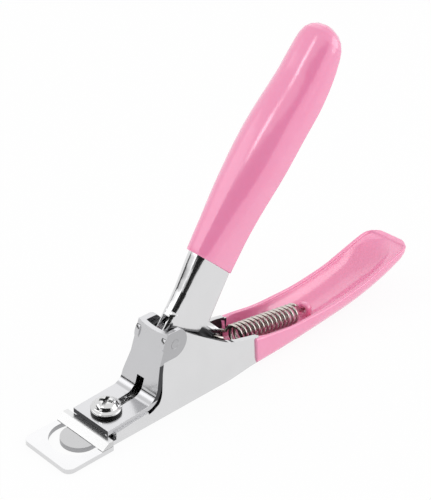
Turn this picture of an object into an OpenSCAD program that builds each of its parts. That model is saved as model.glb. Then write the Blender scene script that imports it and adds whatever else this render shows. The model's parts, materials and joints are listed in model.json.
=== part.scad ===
// Plier-shaped nail clipper: a sliding blade, a nose plate with a crescent hole and two dipped handles.
// Origin: on the flat underside, straight below the handle pivot. +X runs to the handles, +Z is up.

/* [Nose plate] */
// Distance from the nose's front edge back to the pivot
nose_reach = 36.1; // [35:0.1:38]
// Length of the plate that carries the nail hole
nose_len = 13.9; // [13.5:0.1:15]
// Width of the nose plate and of the blade's head
nose_w = 16.6; // [15.6:0.1:20]
// Radius of the nose's front corners
nose_corner_r = 2; // [1:0.1:3]
// Thickness of the bed and of the nose plate
floor_t = 1.3; // [1:0.1:1.8]
// Radius of the nail hole
hole_r = 6.6; // [5.5:0.1:6.8]
// Metal left in front of the nail hole
hole_margin = 2.9; // [2.5:0.1:3.5]
// Radius of the round tongue that makes the hole a crescent
tongue_r = 4.6; // [3.5:0.1:5]
// Width of the crescent at its middle
crescent_gap = 2.9; // [2:0.1:3.5]

/* [Blade] */
// Thickness of the blade
blade_t = 1.6; // [1.2:0.1:2]
// Running gap above and below the blade
blade_clear = 0.06; // [0.04:0.01:0.15]
// Distance from the nose's front edge to the cutting edge when the handles are open
edge_reach = 10.5; // [10.2:0.1:11]
// Length of the blade's wide head
head_len = 3.3; // [3:0.1:4]
// Length of the bevel behind the cutting edge
bevel_len = 1.9; // [1.2:0.1:2.5]
// Width of the blade's shank
shank_w = 10.4; // [9:0.1:10.8]
// Distance that the blade slides when the handles close
blade_travel = 7.7; // [7:0.1:7.7]

/* [Body] */
// Outside width of the body
body_w = 13.7; // [13:0.1:15]
// Thickness of the body's side walls
wall_t = 1.3; // [1:0.1:1.5]
// Gap between the nose plate's rear edge and the start of the side walls
wall_setback = 2.1; // [1.5:0.1:3]
// Height of the pivot above the underside
pivot_z = 18.5; // [18:0.1:19.5]
// Height of the cheeks' rounded top above the pivot
dome_h = 2.3; // [1.9:0.1:2.6]
// Distance of the cheeks' rounded top behind the pivot
dome_x = 1.5; // [1.2:0.1:2]
// Distance from the pivot back to the end of the flat underside
sole_x = 18; // [12:0.5:24]

/* [Cover plate] */
// Thickness of the cover plate
cover_t = 1.4; // [1.2:0.1:1.6]
// Width of the cover plate over the blade
cover_w = 12.4; // [11.6:0.1:13]
// Slope of the cover plate's lying leg
cover_slope = 3.4; // [2:0.1:5]
// Slope of the cover plate's standing leg
cover_steep = 74.5; // [72:0.5:78]
// Inner radius of the cover plate's bend
cover_bend_r = 3.2; // [2.5:0.1:3.6]
// Distance from the pivot's axis to the back of the standing leg
cover_reach = 2.2; // [2.1:0.05:2.6]
// Gap between the standing leg and the body's cheeks
cover_gap = 0.6; // [0.4:0.05:0.7]
// Height of the standing leg above the pivot
cover_rise = 3.8; // [3.2:0.1:4.4]
// Depth of the scoop in the standing leg's top edge
scoop_depth = 0.7; // [0.3:0.1:1]
// Width of the slot in the cover plate
slot_w = 2.4; // [1.8:0.1:2.6]
// Height of the slot's round end above the underside
slot_top = 10.6; // [9:0.1:12]
// Radius of the ears that the cover plate bends back to the pivot
ear_r = 4; // [3.6:0.1:4.3]
// Gap between an ear and the cheek beside it
ear_gap = 0.1; // [0.05:0.01:0.2]

/* [Fasteners] */
// Radius of the pivot pin
pin_r = 1.2; // [1:0.05:1.3]
// Radial clearance of the pivot pin in its bores
pin_clear = 0.03; // [0.02:0.01:0.08]
// Distance from the nose's front edge to the clamp screw
screw_reach = 18.9; // [18.5:0.1:19.5]
// Radius of the clamp screw's shank
screw_r = 1.4; // [1.2:0.05:1.5]
// Radius of the clamp screw's head
screw_head_r = 3.8; // [3.2:0.1:4.2]
// Height of the straight side of the clamp screw's head
screw_rim_h = 0.6; // [0.4:0.1:0.9]
// Height of the dome on the clamp screw's head
screw_dome_h = 1.6; // [1.2:0.1:2]
// Length of the cross recess from end to end
recess_l = 4.2; // [3.4:0.1:4.6]
// Width of the cross recess
recess_w = 0.8; // [0.6:0.05:1]
// Depth of the cross recess
recess_depth = 1.3; // [0.8:0.1:1.4]
// Thickness of the washer under the head
washer_t = 0.8; // [0.5:0.1:1]
// Radial clearance of the screw in the washer, the bush and the plates
screw_clear = 0.15; // [0.1:0.01:0.3]
// Wall of the bush that guides the blade
bush_wall = 0.6; // [0.4:0.05:0.8]
// Gap between the bush and the blade's slot
bush_clear = 0.3; // [0.2:0.05:0.5]

/* [Lower handle] */
// Distance from the pivot back to the start of the lower grip
grip_x = 29; // [27:0.5:31]
// Distance from the pivot back to the end of the lower handle
lower_reach = 95.2; // [88:0.2:102]
// Height of the coated rim where the lower grip starts
rim_start_z = 9.1; // [8.6:0.1:10]
// Height of the coated rim at its lowest
rim_low_z = 6.5; // [6.3:0.1:7.5]
// Height of the coated rim at the end of the handle
rim_end_z = 13.2; // [12.8:0.1:14.5]
// Height of the coated underside where the lower grip starts
belly_start_z = 0.2; // [0.1:0.1:0.6]
// Rise of the coated underside from its curl to the end
belly_curl_rise = 9.6; // [8:0.1:10]
// Radius of the lower grip's long corners where it starts
belly_start_r = 2.2; // [1.9:0.1:3]
// Radius of the lower grip's long corners towards its end
belly_r = 4; // [3:0.1:4.5]
// Radius of the lower handle's end corners
lower_corner_r = 5; // [3:0.1:6]

/* [Upper handle] */
// Angle of the upper handle above the floor when it is open
lever_angle = 50.6; // [48:0.2:54]
// Thickness of the upper handle's sheet
lever_t = 1.1; // [0.9:0.05:1.2]
// Width of the upper handle between the cheeks
lever_w = 4; // [3.6:0.1:4.4]
// Running gap between the upper handle and each cheek
lever_clear = 0.3; // [0.2:0.05:0.4]
// Radius of the upper handle around the pivot
hub_r = 1.9; // [1.8:0.05:2]
// Distance from the pivot to the start of the upper grip
upper_grip_u = 21.4; // [20:0.2:23]
// Distance from the pivot to the end of the upper handle
upper_reach = 85.5; // [80:0.5:92]
// Coated width where the upper grip starts
upper_neck_w = 8; // [7.4:0.1:8.6]
// Coated width of the upper grip at its widest
upper_grip_w = 14.4; // [13:0.1:16]
// Radius of the upper handle's end corners
upper_corner_r = 5.8; // [4:0.1:5.9]
// Radius of the upper handle's back as it falls to the end
upper_nose_r = 3.6; // [3:0.1:4.5]
// Least width of the flat left along a handle's round back
back_flat = 1; // [0.6:0.1:2]

/* [Dipped coating] */
// Thickness of the coating outside
coat_t = 0.65; // [0.5:0.05:0.8]
// Thickness of the coating inside the channels and on the rims
coat_in_t = 0.4; // [0.3:0.05:0.5]

/* [Drive tongue] */
// Distance from the pivot to the centre of the tongue's round tip
drive_arm = 15.9; // [15.7:0.05:16.1]
// Angle of the tongue behind straight down when the handles are open
drive_back_angle = 12; // [11:0.5:13]
// Radius of the tongue's round tip
drive_tip_r = 1; // [0.8:0.05:1]
// Gap between the tip and the blade's window
drive_clear = 0.35; // [0.3:0.05:0.5]

/* [Return spring] */
// Outside radius of the coil
coil_r = 2.85; // [2.5:0.05:3]
// Radius of the spring wire
wire_r = 0.46; // [0.3:0.02:0.5]
// Number of turns in the coil
coil_turns = 14; // [10:1:16]
// Distance from the pivot back to the front end of the coil
coil_front_x = 27.8; // [26:0.1:28.5]
// Height of the coil's front end
coil_front_z = 7.2; // [7:0.1:8]
// Distance from the pivot back to the rear end of the coil
coil_rear_x = 49.3; // [46:0.1:50]
// Height of the coil's rear end
coil_rear_z = 5.6; // [5.5:0.1:7.2]
// Radius of the hole that the front hook passes through
hook_hole_r = 1.4; // [1.2:0.05:1.5]
// Width of the tab that holds the rear hook
tab_w = 3.2; // [3:0.1:4.5]
// Thickness of the tab's sheet
tab_t = 1.1; // [0.9:0.05:1.3]
// Distance from the coil's rear end to the middle of the tab
tab_gap = 5.2; // [4.8:0.1:6]
// Height of the coil's rear end above the tab's hole
tab_hole_drop = 1; // [0:0.1:1.2]
// Radius of the hole in the coated tab
tab_hole_r = 0.85; // [0.8:0.05:0.95]

/* [Hidden] */
$fn = 64;
far = 200;
deep = 40;
step = 0.5;
arc_steps = 8;
corner_steps = 6;
end_steps = 5;
curve_steps = 28;

nose_x = -nose_reach;
nose_back_x = nose_x + nose_len;
wall_x = nose_back_x + wall_setback;
hole_x = nose_x + hole_margin + hole_r;
tongue_x = nose_x + hole_margin + crescent_gap + tongue_r;
blade_z = floor_t + blade_clear;
blade_top_z = blade_z + blade_t;
edge_x = nose_x + edge_reach;
screw_x = nose_x + screw_reach;
cover_z = blade_top_z + blade_clear;
cover_top_z = pivot_z + cover_rise;
cheek_in = lever_w / 2 + lever_clear;
cheek_out = cheek_in + wall_t;
ear_in = cheek_out + ear_gap;
ear_out = ear_in + cover_t;
knee_z = pivot_z - ear_r - step;
lean = body_w / 2 - cheek_out;
pivot = [0, pivot_z];
bush_r = screw_r + screw_clear + bush_wall;
lower_w = body_w + 2 * coat_t;

// Smooth curve through a few points [x, y]
function tangent(p, i) =
    let (a = max(i - 1, 0), b = min(i + 1, len(p) - 1))
    (p[b][1] - p[a][1]) / (p[b][0] - p[a][0]);
function span_of(p, x, i = 0) = i < len(p) - 2 && x > p[i + 1][0] ? span_of(p, x, i + 1) : i;
function along(p, x) =
    let (i = span_of(p, x), h = p[i + 1][0] - p[i][0], t = (x - p[i][0]) / h)
    (1 + 2 * t) * pow(1 - t, 2) * p[i][1] + t * pow(1 - t, 2) * h * tangent(p, i)
    + pow(t, 2) * (3 - 2 * t) * p[i + 1][1] + pow(t, 2) * (t - 1) * h * tangent(p, i + 1);
// How far a round end of radius r has fallen at a distance before its tip
function fall(before, r) = before >= r ? 0 : r - sqrt(pow(r, 2) - pow(r - max(before, 0), 2));
function ease(t) = let (k = min(max(t, 0), 1)) k * k * (3 - 2 * k);
function spread(a, b, n = curve_steps) = [for (i = [0:n]) a + (b - a) * i / n];
function arc(c, r, a0, a1, n = arc_steps) = [for (a = spread(a0, a1, n)) c + r * [cos(a), sin(a)]];
function dir(a) = [cos(a), sin(a)];
function left(a) = [-sin(a), cos(a)];

// Lower handle: the coated rim and underside against x, and the metal inside them
function handle_k(x) = (x - grip_x) / (lower_reach - grip_x);
rim_points = [
    [0, rim_start_z],
    [0.09, rim_low_z + 0.55 * (rim_start_z - rim_low_z)],
    [0.2, rim_low_z + 0.11 * (rim_start_z - rim_low_z)],
    [0.35, rim_low_z],
    [0.45, rim_low_z],
    [0.57, rim_low_z + 0.11 * (rim_end_z - rim_low_z)],
    [0.67, rim_low_z + 0.25 * (rim_end_z - rim_low_z)],
    [0.76, rim_low_z + 0.48 * (rim_end_z - rim_low_z)],
    [0.91, rim_low_z + 0.86 * (rim_end_z - rim_low_z)],
    [1, rim_end_z]];
function rim_z(x) = along(rim_points, handle_k(x));
function belly_z(x) = belly_start_z + belly_curl_rise * pow(max(handle_k(x), 0), 3.6);
function belly_corner(x) = belly_start_r + (belly_r - belly_start_r) * ease(2 * handle_k(x));
function lower_half(x, inset) = lower_w / 2 - inset - fall(lower_reach - inset - x, lower_corner_r - inset);
function sole_z(x) = x < grip_x
    ? (belly_start_z + coat_t) * ease((x - sole_x) / (grip_x - sole_x))
    : belly_z(x) + coat_t;

// Cheeks: the top edge falls from the dome to the grip's rim
dome_z = pivot_z + dome_h;
cheek_points = [[0, 1], [0.08, 0.93], [0.23, 0.7], [0.44, 0.41], [0.63, 0.19], [0.89, 0.055], [1, 0]];
function cheek_z(x) = rim_start_z + (dome_z - rim_start_z) * along(cheek_points, (x - dome_x) / (grip_x - dome_x));
function lean_at(x) = lean * ease((grip_x - x) / (grip_x - 2 * dome_x));

// Cover plate: lying leg, bend and standing leg, seen from the side
under_0 = [nose_back_x, cover_z];
back_0 = pivot + cover_reach * left(cover_steep);
function under_z(x) = cover_z + (x - nose_back_x) * tan(cover_slope);
corner = let (
    d = back_0 - under_0,
    t = (d[0] * sin(cover_steep) - d[1] * cos(cover_steep)) / sin(cover_steep - cover_slope))
    under_0 + t * dir(cover_slope);
bend_out_r = cover_bend_r + cover_t;
bend_start = corner - bend_out_r * tan((cover_steep - cover_slope) / 2) * dir(cover_slope);
bend_c = bend_start + bend_out_r * left(cover_slope);
function back_x(z, reach = cover_reach) = -reach / sin(cover_steep) + (z - pivot_z) / tan(cover_steep);

// The cheek's front edge keeps a gap behind the standing leg and rounds over into the dome
edge_d = cover_reach - cover_gap;
dome_r = sin(cover_steep) * (dome_x + edge_d / sin(cover_steep) - dome_h / tan(cover_steep))
    / (1 - cos(cover_steep));
dome_c = [dome_x, dome_z - dome_r];
cheek_outline = concat(
    [[wall_x, 0], [wall_x, under_z(wall_x)], bend_start],
    arc(bend_c, bend_out_r + cover_gap, cover_slope - 90, cover_steep - 90),
    arc(dome_c, dome_r, cover_steep + 90, 90),
    [for (x = spread(dome_x + step, grip_x)) [x, cheek_z(x)]],
    [for (x = spread(grip_x, sole_x, arc_steps)) [x, sole_z(x)]]);

// Upper handle in its own frame: u runs along the handle, w is up out of its spine
function lever_u(k) = upper_grip_u + k * (upper_reach - upper_grip_u);
spine_points = [
    [-2 * hub_r, hub_r],
    [1, hub_r],
    [8, 2.2],
    [12, 2.6],
    [upper_grip_u, 4.25],
    [lever_u(0.13), 5.05],
    [lever_u(0.29), 6.05],
    [lever_u(0.54), 6.6],
    [lever_u(0.76), 5.6],
    [lever_u(0.87), 5.8],
    [lever_u(1), 5.6]];
edge_points = [
    [8.5, -12.2],
    [15, -10.2],
    [upper_grip_u, -8.3],
    [lever_u(0.14), -5.8],
    [lever_u(0.26), -4.5],
    [lever_u(0.41), -3.9],
    [lever_u(0.56), -3.5],
    [lever_u(0.72), -3.8],
    [lever_u(0.84), -2.9],
    [lever_u(0.93), -0.8],
    [lever_u(1), 0.7]];
width_points = [
    [upper_grip_u, upper_neck_w / 2],
    [lever_u(0.1), upper_neck_w / 2 + 0.22 * (upper_grip_w - upper_neck_w) / 2],
    [lever_u(0.2), upper_neck_w / 2 + 0.48 * (upper_grip_w - upper_neck_w) / 2],
    [lever_u(0.34), upper_neck_w / 2 + 0.8 * (upper_grip_w - upper_neck_w) / 2],
    [lever_u(0.5), upper_grip_w / 2],
    [lever_u(0.7), upper_grip_w / 2 - 0.2],
    [lever_u(0.85), upper_grip_w / 2 - 0.7],
    [lever_u(1), upper_grip_w / 2 - 0.9]];
flare_u = 4.5;
spine_u = 5;
shoulder = [6.9, -13.4];
hook_at = [5.8, -17.9];
tail_r = hook_hole_r + 0.9;
// The metal's back; the coat adds its own thickness outside it
function spine_w(u) = along(spine_points, u);
function edge_w(u) = along(edge_points, u);
function metal_half(u) = u < upper_grip_u
    ? lever_w / 2 + max(u - flare_u, 0) * (upper_neck_w / 2 - coat_t - lever_w / 2) / (upper_grip_u - flare_u)
    : along(width_points, u) - coat_t;
function lever_half(u, inset) =
    metal_half(u) + coat_t - inset - fall(upper_reach - inset - u, upper_corner_r - inset);
function lever_back(u, inset) = spine_w(u) + coat_t - inset - fall(upper_reach - inset - u, upper_nose_r - inset);
function lever_to_part(p) = pivot + p[0] * dir(lever_angle) + p[1] * left(lever_angle);
hook_part = lever_to_part(hook_at);

// Return spring: the coil's axis, and the wire's path from hook to hook
wind_r = coil_r - wire_r;
coil_a = [coil_front_x, 0, coil_front_z];
coil_b = [coil_rear_x, 0, coil_rear_z];
coil_len = norm(coil_b - coil_a);
coil_x = (coil_b - coil_a) / coil_len;
coil_up = [-coil_x[2], 0, coil_x[0]];
tab_x = coil_rear_x + tab_gap;
tab_hole_z = coil_rear_z - tab_hole_drop;
tab_top_z = tab_hole_z + tab_w / 2;

module side_extrude(width) {
    rotate([90, 0, 0]) linear_extrude(width, center = true) children();
}

// Section across a channel at x: a back with round corners, sides that run on past its rims.
// out is 1 for a channel that opens down and -1 for one that opens up
function section(x, half, back, r, out) =
    let (c = back - out * r)
    concat(
        [[x, out * half, back - out * deep]],
        [for (a = spread(0, 90, corner_steps)) [x, out * (half - r + r * cos(a)), c + out * r * sin(a)]],
        [for (a = spread(90, 180, corner_steps)) [x, out * (r - half + r * cos(a)), c + out * r * sin(a)]],
        [[x, -out * half, back - out * deep]]);

// Stations along a channel, closer together round its end
function stations(x0, end, r) = concat(
    spread(x0, end - r, curve_steps / 2),
    [for (a = spread(90 / end_steps, 90, end_steps - 1)) end - r * (1 - 0.99 * sin(a))]);

// Solid through a row of sections
module skin(rows) {
    n = len(rows[0]);
    last = n * (len(rows) - 1);
    sides = [for (k = [0:len(rows) - 2]) for (j = [0:n - 1])
        let (a = k * n + j, b = k * n + (j + 1) % n)
        each [[a, b + n, b], [a, a + n, b + n]]];
    polyhedron([for (row = rows) each row], concat(
        sides, [[for (j = [0:n - 1]) j]], [[for (j = [n - 1:-1:0]) last + j]]));
}

module lever_place() {
    translate([0, 0, pivot_z]) rotate([0, -lever_angle, 0]) children();
}

module pin_bore(r) {
    translate([0, 0, pivot_z]) rotate([90, 0, 0]) cylinder(h = far, r = r, center = true);
}

// Moves its children to the screw's axis, square to the cover plate's lying leg
module on_cover() {
    translate([screw_x, 0, under_z(screw_x)]) rotate([0, -cover_slope, 0]) children();
}

module nose_plan() {
    difference() {
        union() {
            translate([nose_x + nose_corner_r, -nose_w / 2]) square([nose_len - nose_corner_r, nose_w]);
            translate([nose_x, nose_corner_r - nose_w / 2]) square([nose_len, nose_w - 2 * nose_corner_r]);
            for (side = [-1, 1])
                translate([nose_x + nose_corner_r, side * (nose_w / 2 - nose_corner_r)]) circle(nose_corner_r);
        }
        difference() {
            translate([hole_x, 0]) circle(hole_r);
            translate([tongue_x, 0]) circle(tongue_r);
            translate([tongue_x, -tongue_r]) square([far, 2 * tongue_r]);
        }
    }
}

// One leaning cheek: a sheet that stands upright low down, leans in to a knee and is upright again at the pivot
module cheek_sheet() {
    xs = concat([wall_x], spread(2 * dome_x, grip_x, arc_steps));
    function ring(x) =
        let (o = body_w / 2, i = o - wall_t, s = lean_at(x), top = dome_z + step)
        [[x, o, -step], [x, o, cover_z], [x, o - s, knee_z], [x, o - s, top],
        [x, i - s, top], [x, i - s, knee_z], [x, i, cover_z], [x, i, -step]];
    points = [for (x = xs) each ring(x)];
    n = 8;
    last = n * (len(xs) - 1);
    sides = [for (k = [0:len(xs) - 2]) for (j = [0:n - 1])
        let (a = k * n + j, b = k * n + (j + 1) % n)
        each [[a, b + n, b], [a, a + n, b + n]]];
    ends = [for (q = [[0, 1, 6, 7], [1, 2, 5, 6], [2, 3, 4, 5]]) each [
        [q[0], q[1], q[2]], [q[0], q[2], q[3]],
        [last + q[2], last + q[1], last + q[0]], [last + q[3], last + q[2], last + q[0]]]];
    polyhedron(points, concat(sides, ends));
}

// Everything below the lower handle's rim
module below_rim(drop) {
    xs = spread(grip_x, lower_reach);
    polygon(concat(
        [[grip_x, -far], [lower_reach, -far]],
        [for (i = [len(xs) - 1:-1:0]) [xs[i], rim_z(xs[i]) - drop]]));
}

// Everything above the floor line of the lower handle's channel
module handle_hollow(x0, lift) {
    xs = spread(x0, lower_reach);
    polygon(concat([[x0, far]], [for (x = xs) [x, belly_z(x) + lift]], [[lower_reach, far]]));
}

// The lower handle's outside, moved in all round by an inset; its long corners stay open inside the coat
module lower_skin(x0, inset) {
    skin([for (x = stations(x0, lower_reach - inset, lower_corner_r - inset))
        section(x, lower_half(x, inset), belly_z(x) + inset,
            min(max(belly_corner(x) - inset, coat_in_t), lower_half(x, inset) - back_flat / 2), -1)]);
}

module lower_core() {
    difference() {
        intersection() {
            side_extrude(far) below_rim(coat_in_t);
            lower_skin(grip_x, coat_t);
        }
        lower_skin(grip_x - step, coat_t + wall_t);
    }
    intersection() {
        tab_solid(tab_t, tab_w, 0);
        side_extrude(far) handle_hollow(grip_x, coat_t + floor_t / 2);
    }
}

// The tab stands across the channel, with a round top around the hook's hole
module tab_solid(thick, width, cover) {
    translate([tab_x - thick / 2, 0, 0]) rotate([90, 0, 90]) linear_extrude(thick) {
        translate([-width / 2, 0]) square([width, tab_hole_z]);
        translate([0, tab_hole_z]) circle(tab_w / 2 + cover);
    }
}

module tab_hole(r) {
    translate([tab_x, 0, tab_hole_z]) rotate([0, 90, 0]) cylinder(h = 4 * tab_t, r = r, center = true);
}

module frame() {
    color("silver") difference() {
        union() {
            linear_extrude(floor_t) nose_plan();
            linear_extrude(floor_t) translate([nose_back_x - step, -body_w / 2])
                square([sole_x - nose_back_x + step, body_w]);
            side_extrude(body_w) polygon(concat(
                [for (x = spread(sole_x, grip_x, arc_steps)) [x, sole_z(x)]],
                [for (x = spread(grip_x, sole_x, arc_steps)) [x, sole_z(x) + floor_t]]));
            for (side = [0, 1]) mirror([0, side, 0]) intersection() {
                cheek_sheet();
                side_extrude(far) polygon(cheek_outline);
            }
            lower_core();
        }
        pin_bore(pin_r + pin_clear);
        translate([screw_x, 0, 0]) cylinder(h = far, r = screw_r + screw_clear, center = true);
        tab_hole(tab_hole_r + coat_in_t);
    }
}

module lower_grip() {
    color("hotpink") difference() {
        union() {
            difference() {
                intersection() {
                    side_extrude(far) below_rim(0);
                    lower_skin(grip_x, 0);
                }
                lower_skin(grip_x - step, coat_t + wall_t + coat_in_t);
            }
            intersection() {
                tab_solid(tab_t + 2 * coat_in_t, tab_w + 2 * coat_in_t, coat_in_t);
                side_extrude(far) handle_hollow(grip_x, coat_t + floor_t + coat_in_t / 2);
            }
        }
        lower_core();
        tab_hole(tab_hole_r);
    }
}

module cover_profile() {
    polygon(concat(
        [under_0],
        arc(bend_c, bend_out_r, cover_slope - 90, cover_steep - 90),
        [[back_x(cover_top_z), cover_top_z], [back_x(cover_top_z, cover_reach + cover_t), cover_top_z]],
        arc(bend_c, cover_bend_r, cover_steep - 90, cover_slope - 90),
        [under_0 + cover_t * left(cover_slope)]));
}

module ear() {
    low = pivot_z - ear_r;
    side_extrude(cover_t) {
        translate(pivot) circle(ear_r);
        polygon([
            [back_x(low, cover_reach + cover_t / 2), low],
            [0, low],
            [0, pivot_z + ear_r],
            [back_x(cover_top_z, cover_reach + cover_t / 2), cover_top_z]]);
    }
}

module cover_plate() {
    taper_z = bend_c[1];
    scoop_r = (pow(ear_out, 2) + pow(scoop_depth, 2)) / (2 * scoop_depth);
    color("lightgray") difference() {
        union() {
            intersection() {
                side_extrude(cover_w) cover_profile();
                rotate([90, 0, 90]) linear_extrude(far, center = true) polygon([
                    [-cover_w / 2, 0], [cover_w / 2, 0], [cover_w / 2, taper_z], [ear_out, knee_z],
                    [ear_out, far], [-ear_out, far], [-ear_out, knee_z], [-cover_w / 2, taper_z]]);
            }
            for (side = [-1, 1]) translate([0, side * (ear_in + ear_out) / 2, 0]) ear();
        }
        pin_bore(pin_r + pin_clear);
        rotate([90, 0, 90]) linear_extrude(-screw_x) translate([0, slot_top - slot_w / 2]) {
            circle(slot_w / 2);
            translate([-slot_w / 2, -slot_top]) square([slot_w, slot_top]);
        }
        translate([screw_x, 0, 0]) rotate([90, 0, 90]) linear_extrude(-screw_x)
            translate([-slot_w / 2, 0]) square([slot_w, slot_top - slot_w / 2]);
        on_cover() cylinder(h = far, r = screw_r + screw_clear, center = true);
        translate([0, 0, cover_top_z - scoop_depth + scoop_r]) rotate([0, 90, 0])
            cylinder(h = far, r = scoop_r, center = true);
    }
}

module clamp_screw() {
    seat = cover_t + washer_t;
    dome_sphere_r = (pow(screw_head_r, 2) + pow(screw_dome_h, 2)) / (2 * screw_dome_h);
    top = seat + screw_rim_h + screw_dome_h;
    color("gainsboro") on_cover() difference() {
        union() {
            translate([0, 0, -under_z(screw_x) + step]) cylinder(h = seat + under_z(screw_x) - step, r = screw_r);
            translate([0, 0, seat]) cylinder(h = screw_rim_h, r = screw_head_r);
            intersection() {
                translate([0, 0, top - dome_sphere_r]) sphere(dome_sphere_r);
                translate([0, 0, seat + screw_rim_h]) cylinder(h = screw_dome_h, r = screw_head_r);
            }
        }
        for (turn = [0, 90]) rotate([0, 0, turn]) translate([-recess_l / 2, -recess_w / 2, top - recess_depth])
            cube([recess_l, recess_w, far]);
    }
}

module screw_washer() {
    color("dimgray") on_cover() translate([0, 0, cover_t]) difference() {
        cylinder(h = washer_t, r = screw_head_r);
        cylinder(h = far, r = screw_r + screw_clear, center = true);
    }
}

module guide_bush() {
    low = under_z(screw_x - bush_r);
    color("darkgray") translate([screw_x, 0, floor_t]) difference() {
        cylinder(h = low - floor_t, r = bush_r);
        cylinder(h = far, r = screw_r + screw_clear, center = true);
    }
}

module pivot_pin() {
    color("gainsboro") translate([0, 0, pivot_z]) rotate([90, 0, 0])
        cylinder(h = 2 * ear_out, r = pin_r, center = true);
}

module blade() {
    slot_r = bush_r + bush_clear;
    tip_x = drive_arm * sin(drive_back_angle);
    window_half = drive_tip_r + drive_clear;
    tongue_half = lever_w / 2 - lever_t;
    back = tip_x + window_half + 2 * drive_tip_r;
    color("whitesmoke") difference() {
        translate([0, 0, blade_z]) linear_extrude(blade_t) {
            translate([edge_x, -nose_w / 2]) square([head_len, nose_w]);
            translate([edge_x, -shank_w / 2]) square([back - edge_x, shank_w]);
        }
        side_extrude(far) polygon([
            [edge_x - step, blade_z], [edge_x, blade_z + blade_clear],
            [edge_x + bevel_len, blade_top_z], [edge_x + bevel_len, far], [edge_x - step, far]]);
        for (x = [screw_x, screw_x + blade_travel]) translate([x, 0, 0]) cylinder(h = far, r = slot_r);
        translate([screw_x, -slot_r, 0]) cube([blade_travel, 2 * slot_r, far]);
        translate([tip_x - window_half, -tongue_half - drive_clear, 0])
            cube([2 * window_half, 2 * (tongue_half + drive_clear), far]);
    }
}

module lever_side() {
    us = spread(1, upper_grip_u, arc_steps);
    back_us = spread(upper_grip_u, edge_points[0][0], arc_steps);
    tail_half = (hook_hole_r + tail_r) / 2;
    rotate([90, 0, 0]) cylinder(h = lever_w, r = hub_r, center = true);
    translate([hook_at[0], 0, hook_at[1]]) rotate([90, 0, 0]) cylinder(h = far, r = tail_r, center = true);
    side_extrude(far) polygon(concat(
        [[-(pin_r + hub_r) / 2, 0]],
        [for (u = us) [u, spine_w(u) + step]],
        [for (u = spread(upper_grip_u, upper_reach)) [u, spine_w(u) + coat_t + step]],
        [for (u = spread(upper_reach, upper_grip_u)) [u, edge_w(u) + coat_in_t]],
        [for (u = back_us) [u, edge_w(u)]],
        [shoulder, hook_at + [tail_half, 0], hook_at - [tail_half, 0]]));
}

// The upper handle's outside, moved in all round by an inset
module lever_skin(u0, inset) {
    skin([for (u = concat(
            u0 < upper_grip_u - step ? spread(u0, upper_grip_u - step, arc_steps) : [],
            stations(max(u0, upper_grip_u - step), upper_reach - inset, upper_corner_r - inset)))
        section(u, lever_half(u, inset), lever_back(u, inset), lever_half(u, inset) - back_flat / 2, 1)]);
}

module lever_metal() {
    difference() {
        intersection() {
            lever_side();
            lever_skin(-2 * hub_r, coat_t);
        }
        lever_skin(spine_u - step, coat_t + lever_t);
        translate([-3 * hub_r, lever_t - lever_w / 2, -deep])
            cube([3 * hub_r + spine_u, lever_w - 2 * lever_t, 2 * deep]);
    }
}

module upper_handle() {
    color("silver") difference() {
        lever_place() difference() {
            lever_metal();
            translate([hook_at[0], 0, hook_at[1]]) rotate([90, 0, 0])
                cylinder(h = far, r = hook_hole_r, center = true);
        }
        pin_bore(pin_r + pin_clear);
    }
}

module upper_grip() {
    us = spread(upper_grip_u, upper_reach);
    color("hotpink") lever_place() difference() {
        intersection() {
            side_extrude(far) polygon(concat(
                [for (u = us) [u, spine_w(u) + coat_t + step]],
                [for (i = [len(us) - 1:-1:0]) [us[i], edge_w(us[i])]]));
            lever_skin(upper_grip_u, 0);
        }
        lever_skin(upper_grip_u - step, coat_t + lever_t + coat_in_t);
        lever_metal();
    }
}

module drive_tongue() {
    thick = lever_w - 2 * lever_t;
    tip = drive_arm * [sin(drive_back_angle), -cos(drive_back_angle)];
    across = [cos(drive_back_angle), sin(drive_back_angle)];
    root = (pin_r + hub_r) / 2;
    tip_half = 0.9 * drive_tip_r;
    web_out = 0.6 * (hook_part - pivot);
    color("darkgray") difference() {
        translate([0, 0, pivot_z]) {
            rotate([90, 0, 0]) cylinder(h = thick, r = hub_r, center = true);
            translate([tip[0], 0, tip[1]]) rotate([90, 0, 0]) cylinder(h = thick, r = drive_tip_r, center = true);
            side_extrude(thick) polygon([-root * across, tip - tip_half * across, tip + tip_half * across,
                tip / 2 + root * across, web_out, web_out + [0, hub_r], [0, root]]);
        }
        pin_bore(pin_r + pin_clear);
    }
}

// Tube along a list of points, its rings kept square to the path
module wire(path, r, n = 8) {
    last = len(path) - 1;
    function way(i) = let (d = path[min(i + 1, last)] - path[max(i - 1, 0)]) d / norm(d);
    function next_side(s, t) = let (q = s - (s * t) * t) q / norm(q);
    sides = [for (i = 0, s = next_side([0, 0, 1], way(0)); i <= last;
        i = i + 1, s = i <= last ? next_side(s, way(i)) : s) s];
    points = [for (i = [0:last]) let (s = sides[i], c = cross(way(i), s))
        for (j = [0:n - 1]) path[i] + r * (cos(360 * j / n) * s + sin(360 * j / n) * c)];
    skin = [for (i = [0:last - 1]) for (j = [0:n - 1])
        let (a = i * n + j, b = i * n + (j + 1) % n)
        each [[a, b + n, b], [a, a + n, b + n]]];
    caps = [[for (j = [0:n - 1]) j], [for (j = [n - 1:-1:0]) last * n + j]];
    polyhedron(points, concat(skin, caps));
}

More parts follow.
